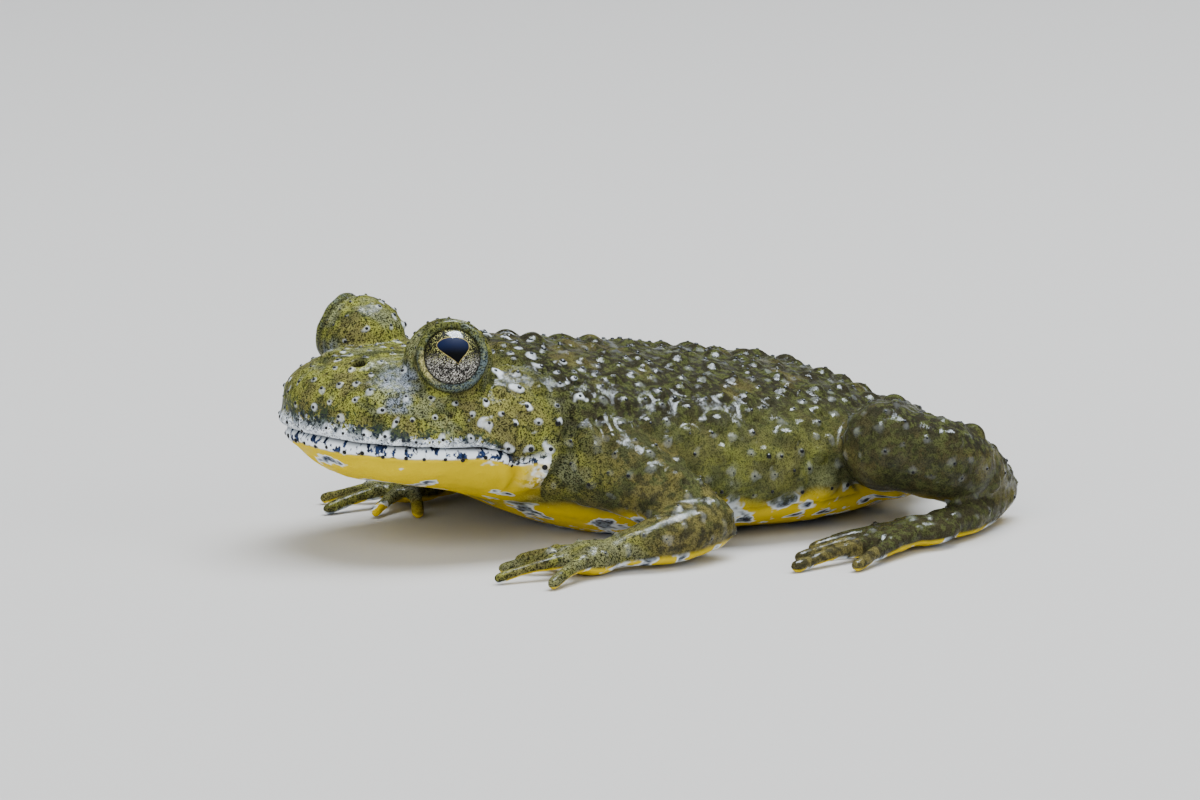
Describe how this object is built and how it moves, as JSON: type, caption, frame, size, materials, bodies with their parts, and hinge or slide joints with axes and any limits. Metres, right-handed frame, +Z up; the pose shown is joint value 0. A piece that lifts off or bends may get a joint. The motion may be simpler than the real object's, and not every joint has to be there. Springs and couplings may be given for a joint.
{
  "type": "yellow-bellied toad",
  "caption": "Small warty toad crouched on the floor, with bulging eyes, wide closed mouth, yellow throat, folded legs, free fingers and webbed toes; a life-size still model",
  "frame": {"origin": "on the floor, at the middle of the toad's bounding box seen from above", "axes": "+Z up; the toad faces -X; its left side is toward -Y"},
  "size_m": [0.041, 0.0402, 0.0132],
  "materials": {
    "back": "wet warty skin, olive brown with dark mottling",
    "throat": "wet smooth skin, yellow with blue-black blotches",
    "limb": "wet skin, olive brown above and yellow below",
    "eye": "wet clear cornea over a dark gold iris with a black heart-shaped pupil"
  },
  "bodies": {
    "root": {"head": "back", "lower_jaw": "throat", "torso": "back", "eye_left": "eye", "eye_right": "eye", "upper_arm_left": "limb", "upper_arm_right": "limb", "forearm_left": "limb", "forearm_right": "limb", "hand_left": "limb", "hand_right": "limb", "thigh_left": "limb", "thigh_right": "limb", "shank_left": "limb", "shank_right": "limb", "tarsus_left": "limb", "tarsus_right": "limb", "foot_left": "limb", "foot_right": "limb"}
  },
  "joints": []
}
